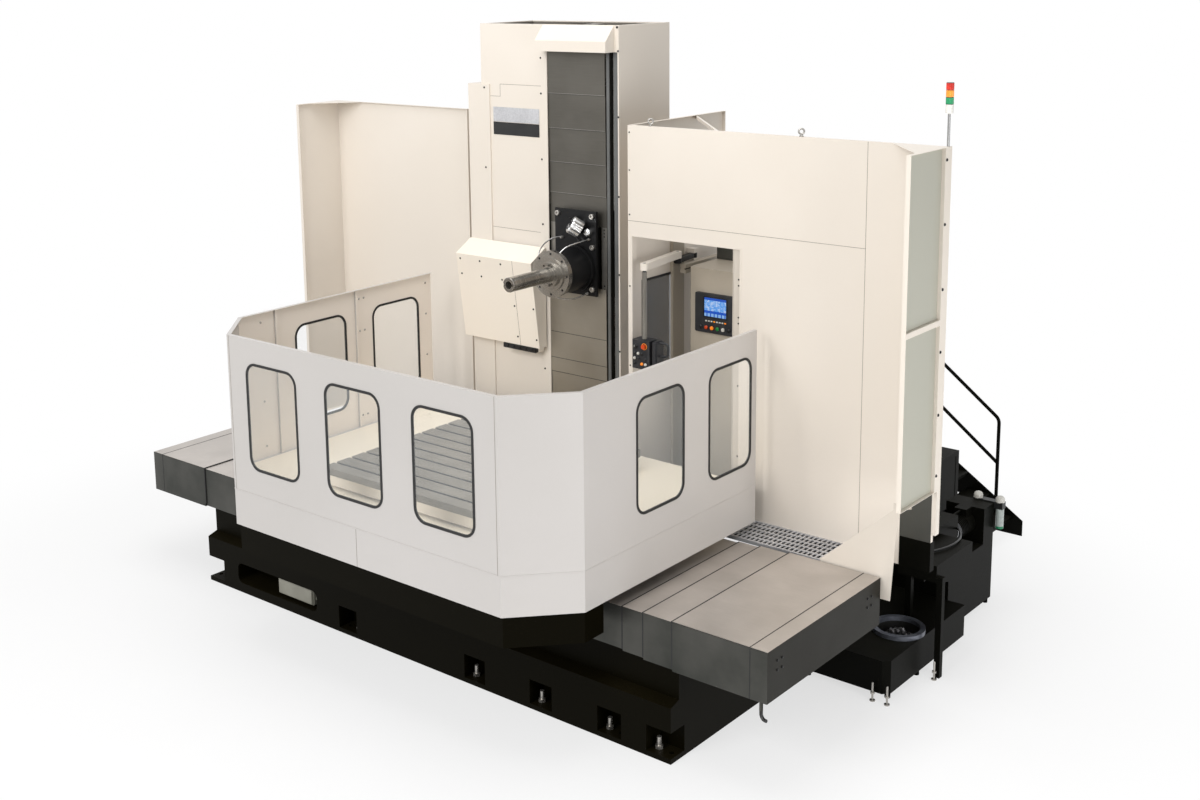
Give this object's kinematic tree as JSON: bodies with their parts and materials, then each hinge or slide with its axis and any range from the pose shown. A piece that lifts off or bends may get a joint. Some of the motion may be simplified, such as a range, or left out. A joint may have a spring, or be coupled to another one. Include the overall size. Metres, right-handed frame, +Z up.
{
  "type": "horizontal boring machine",
  "caption": "Table-type horizontal boring machine: guarded rotary table on a covered bed, travelling column with a boring spindle, operator booth, stairs and chip conveyor.",
  "frame": {"origin": "on the floor, where the vertical plane through the spindle axis crosses the centre line of the table bed", "axes": "+X to the right along the table bed, +Y from the table to the column along the spindle axis, +Z up"},
  "size_m": [7.0565, 6.4675, 5.09],
  "materials": {
    "olive_black_paint": "dark olive machine paint, slightly glossy",
    "cream_sheet": "warm cream textured powder coat",
    "guard_white": "pale grey-white semi-gloss powder coat",
    "cover_steel": "brushed steel with slide marks",
    "machined_steel": "ground and turned steel",
    "plate_steel": "dull rolled steel sheet",
    "cast_iron": "machined grey iron",
    "black_housing": "satin black paint",
    "gasket_rubber": "black rubber",
    "clear_pane": "clear polycarbonate",
    "bright_chrome": "polished",
    "control_black": "charcoal moulding with a dark screen",
    "estop_red": "gloss red",
    "lamp_plastic": "coloured lenses",
    "tank_paint": "dark grey paint, oily",
    "drum_steel": "worn grey drum",
    "service_plastic": "clear bowls on grey heads"
  },
  "bodies": {
    "base": {"x_bed": "olive_black_paint", "levelling_bolts": "machined_steel", "x_screw_drive": "machined_steel", "cover_ends": "cover_steel", "column_bed": "olive_black_paint", "column_screw_drive": "machined_steel", "booth_walls": "cream_sheet", "booth_window_pane": "clear_pane", "right_return": "cream_sheet", "left_wing": "cream_sheet", "apron_plate": "cream_sheet", "walkway_grating": "cream_sheet", "operator_deck": "plate_steel", "stairs": "tank_paint", "control_cabinet": "cream_sheet", "operator_panel": "control_black", "signal_tower": "tank_paint", "signal_lamps": "lamp_plastic", "coolant_tank": "tank_paint", "chip_conveyor": "tank_paint", "conveyor_motor": "tank_paint", "chip_bin": "drum_steel", "air_service_unit": "service_plastic"},
    "saddle_unit": {"saddle": "olive_black_paint", "table_bearing": "machined_steel", "guard_base": "guard_white", "chip_pan": "olive_black_paint", "guard_front_panel": "guard_white", "guard_right_panel": "guard_white", "guard_left_panel": "guard_white", "window_gaskets": "gasket_rubber", "window_panes": "clear_pane", "cover_inner": "cover_steel"},
    "table": {"rotary_table": "cast_iron"},
    "column": {"column_frame": "olive_black_paint", "head_rails": "machined_steel", "column_casing": "cream_sheet", "tool_arm_housing": "cream_sheet", "way_plates_fixed": "plate_steel", "head_screw_drive": "machined_steel"},
    "head": {"head_slide": "olive_black_paint", "quill_housing": "black_housing", "nose_ring": "machined_steel", "coolant_nozzle": "bright_chrome", "head_way_plates": "plate_steel"},
    "mill_spindle": {"milling_spindle": "machined_steel"},
    "bore_spindle": {"boring_spindle": "machined_steel"},
    "link": {"boom_link": "black_housing"},
    "arm": {"boom_arm": "cream_sheet"},
    "pendant_box": {"pendant": "control_black"},
    "estop": {"pendant_estop": "estop_red"},
    "cover_right_1_unit": {"cover_right_1": "cover_steel"},
    "cover_right_2_unit": {"cover_right_2": "cover_steel"},
    "cover_left_1_unit": {"cover_left_1": "cover_steel"},
    "cover_left_2_unit": {"cover_left_2": "cover_steel"},
    "way_plate_upper_1_unit": {"way_plate_upper_1": "plate_steel"},
    "way_plate_upper_2_unit": {"way_plate_upper_2": "plate_steel"},
    "way_plate_upper_3_unit": {"way_plate_upper_3": "plate_steel"},
    "way_plate_lower_1_unit": {"way_plate_lower_1": "plate_steel"},
    "way_plate_lower_2_unit": {"way_plate_lower_2": "plate_steel"}
  },
  "joints": [
    {"name": "saddle_slide", "type": "slide", "parent": "base", "child": "saddle_unit", "axis": [1, 0, 0], "range_m": [-1.285, 0.715]},
    {"name": "table_turn", "type": "hinge", "parent": "saddle_unit", "child": "table", "pos_m": [0.285, -0.13, 1.5], "axis": [0, 0, 1], "continuous": true},
    {"name": "column_slide", "type": "slide", "parent": "base", "child": "column", "axis": [0, 1, 0], "range_m": [0, 1.6]},
    {"name": "head_slide", "type": "slide", "parent": "column", "child": "head", "axis": [0, 0, 1], "range_m": [-0.95, 1]},
    {"name": "spindle_turn", "type": "hinge", "parent": "head", "child": "mill_spindle", "pos_m": [0, 1.1, 2.925], "axis": [0, -1, 0], "continuous": true},
    {"name": "boring_slide", "type": "slide", "parent": "mill_spindle", "child": "bore_spindle", "axis": [0, -1, 0], "range_m": [-0.52, 0.18]},
    {"name": "link_swing", "type": "hinge", "parent": "base", "child": "link", "pos_m": [0.831, 2.1, 3.04], "axis": [0, 0, 1], "range_deg": [0, 25]},
    {"name": "arm_swing", "type": "hinge", "parent": "link", "child": "arm", "pos_m": [0.871, 1.8, 3.09], "axis": [0, 0, 1], "range_deg": [0, 35]},
    {"name": "pendant_swivel", "type": "hinge", "parent": "arm", "child": "pendant_box", "pos_m": [0.95, 1.2, 3.09], "axis": [0, 0, 1], "range_deg": [-90, 90]},
    {"name": "estop_press", "type": "slide", "parent": "pendant_box", "child": "estop", "axis": [0, 1, 0], "range_m": [0, 0.006]},
    {"name": "cover_right_1_slide", "type": "slide", "parent": "base", "child": "cover_right_1_unit", "axis": [1, 0, 0], "range_m": [-0.4293, 0.2393]},
    {"name": "cover_right_2_slide", "type": "slide", "parent": "base", "child": "cover_right_2_unit", "axis": [1, 0, 0], "range_m": [-0.8577, 0.4777]},
    {"name": "cover_left_1_slide", "type": "slide", "parent": "base", "child": "cover_left_1_unit", "axis": [1, 0, 0], "range_m": [-0.4293, 0.2393]},
    {"name": "cover_left_2_slide", "type": "slide", "parent": "base", "child": "cover_left_2_unit", "axis": [1, 0, 0], "range_m": [-0.8577, 0.4777]},
    {"name": "way_plate_upper_1_slide", "type": "slide", "parent": "column", "child": "way_plate_upper_1_unit", "axis": [0, 0, 1], "range_m": [-0.2385, 0.251]},
    {"name": "way_plate_upper_2_slide", "type": "slide", "parent": "column", "child": "way_plate_upper_2_unit", "axis": [0, 0, 1], "range_m": [-0.476, 0.501]},
    {"name": "way_plate_upper_3_slide", "type": "slide", "parent": "column", "child": "way_plate_upper_3_unit", "axis": [0, 0, 1], "range_m": [-0.7135, 0.751]},
    {"name": "way_plate_lower_1_slide", "type": "slide", "parent": "column", "child": "way_plate_lower_1_unit", "axis": [0, 0, 1], "range_m": [-0.6343, 0.6677]},
    {"name": "way_plate_lower_2_slide", "type": "slide", "parent": "column", "child": "way_plate_lower_2_unit", "axis": [0, 0, 1], "range_m": [-0.3177, 0.3343]}
  ],
  "couplings": [
    {"joint": "cover_right_1_slide", "follows": "saddle_slide", "ratio": 0.33333},
    {"joint": "cover_right_2_slide", "follows": "saddle_slide", "ratio": 0.66667},
    {"joint": "cover_left_1_slide", "follows": "saddle_slide", "ratio": 0.33333},
    {"joint": "cover_left_2_slide", "follows": "saddle_slide", "ratio": 0.66667},
    {"joint": "way_plate_upper_1_slide", "follows": "head_slide", "ratio": 0.25},
    {"joint": "way_plate_upper_2_slide", "follows": "head_slide", "ratio": 0.5},
    {"joint": "way_plate_upper_3_slide", "follows": "head_slide", "ratio": 0.75},
    {"joint": "way_plate_lower_1_slide", "follows": "head_slide", "ratio": 0.66667},
    {"joint": "way_plate_lower_2_slide", "follows": "head_slide", "ratio": 0.33333}
  ]
}
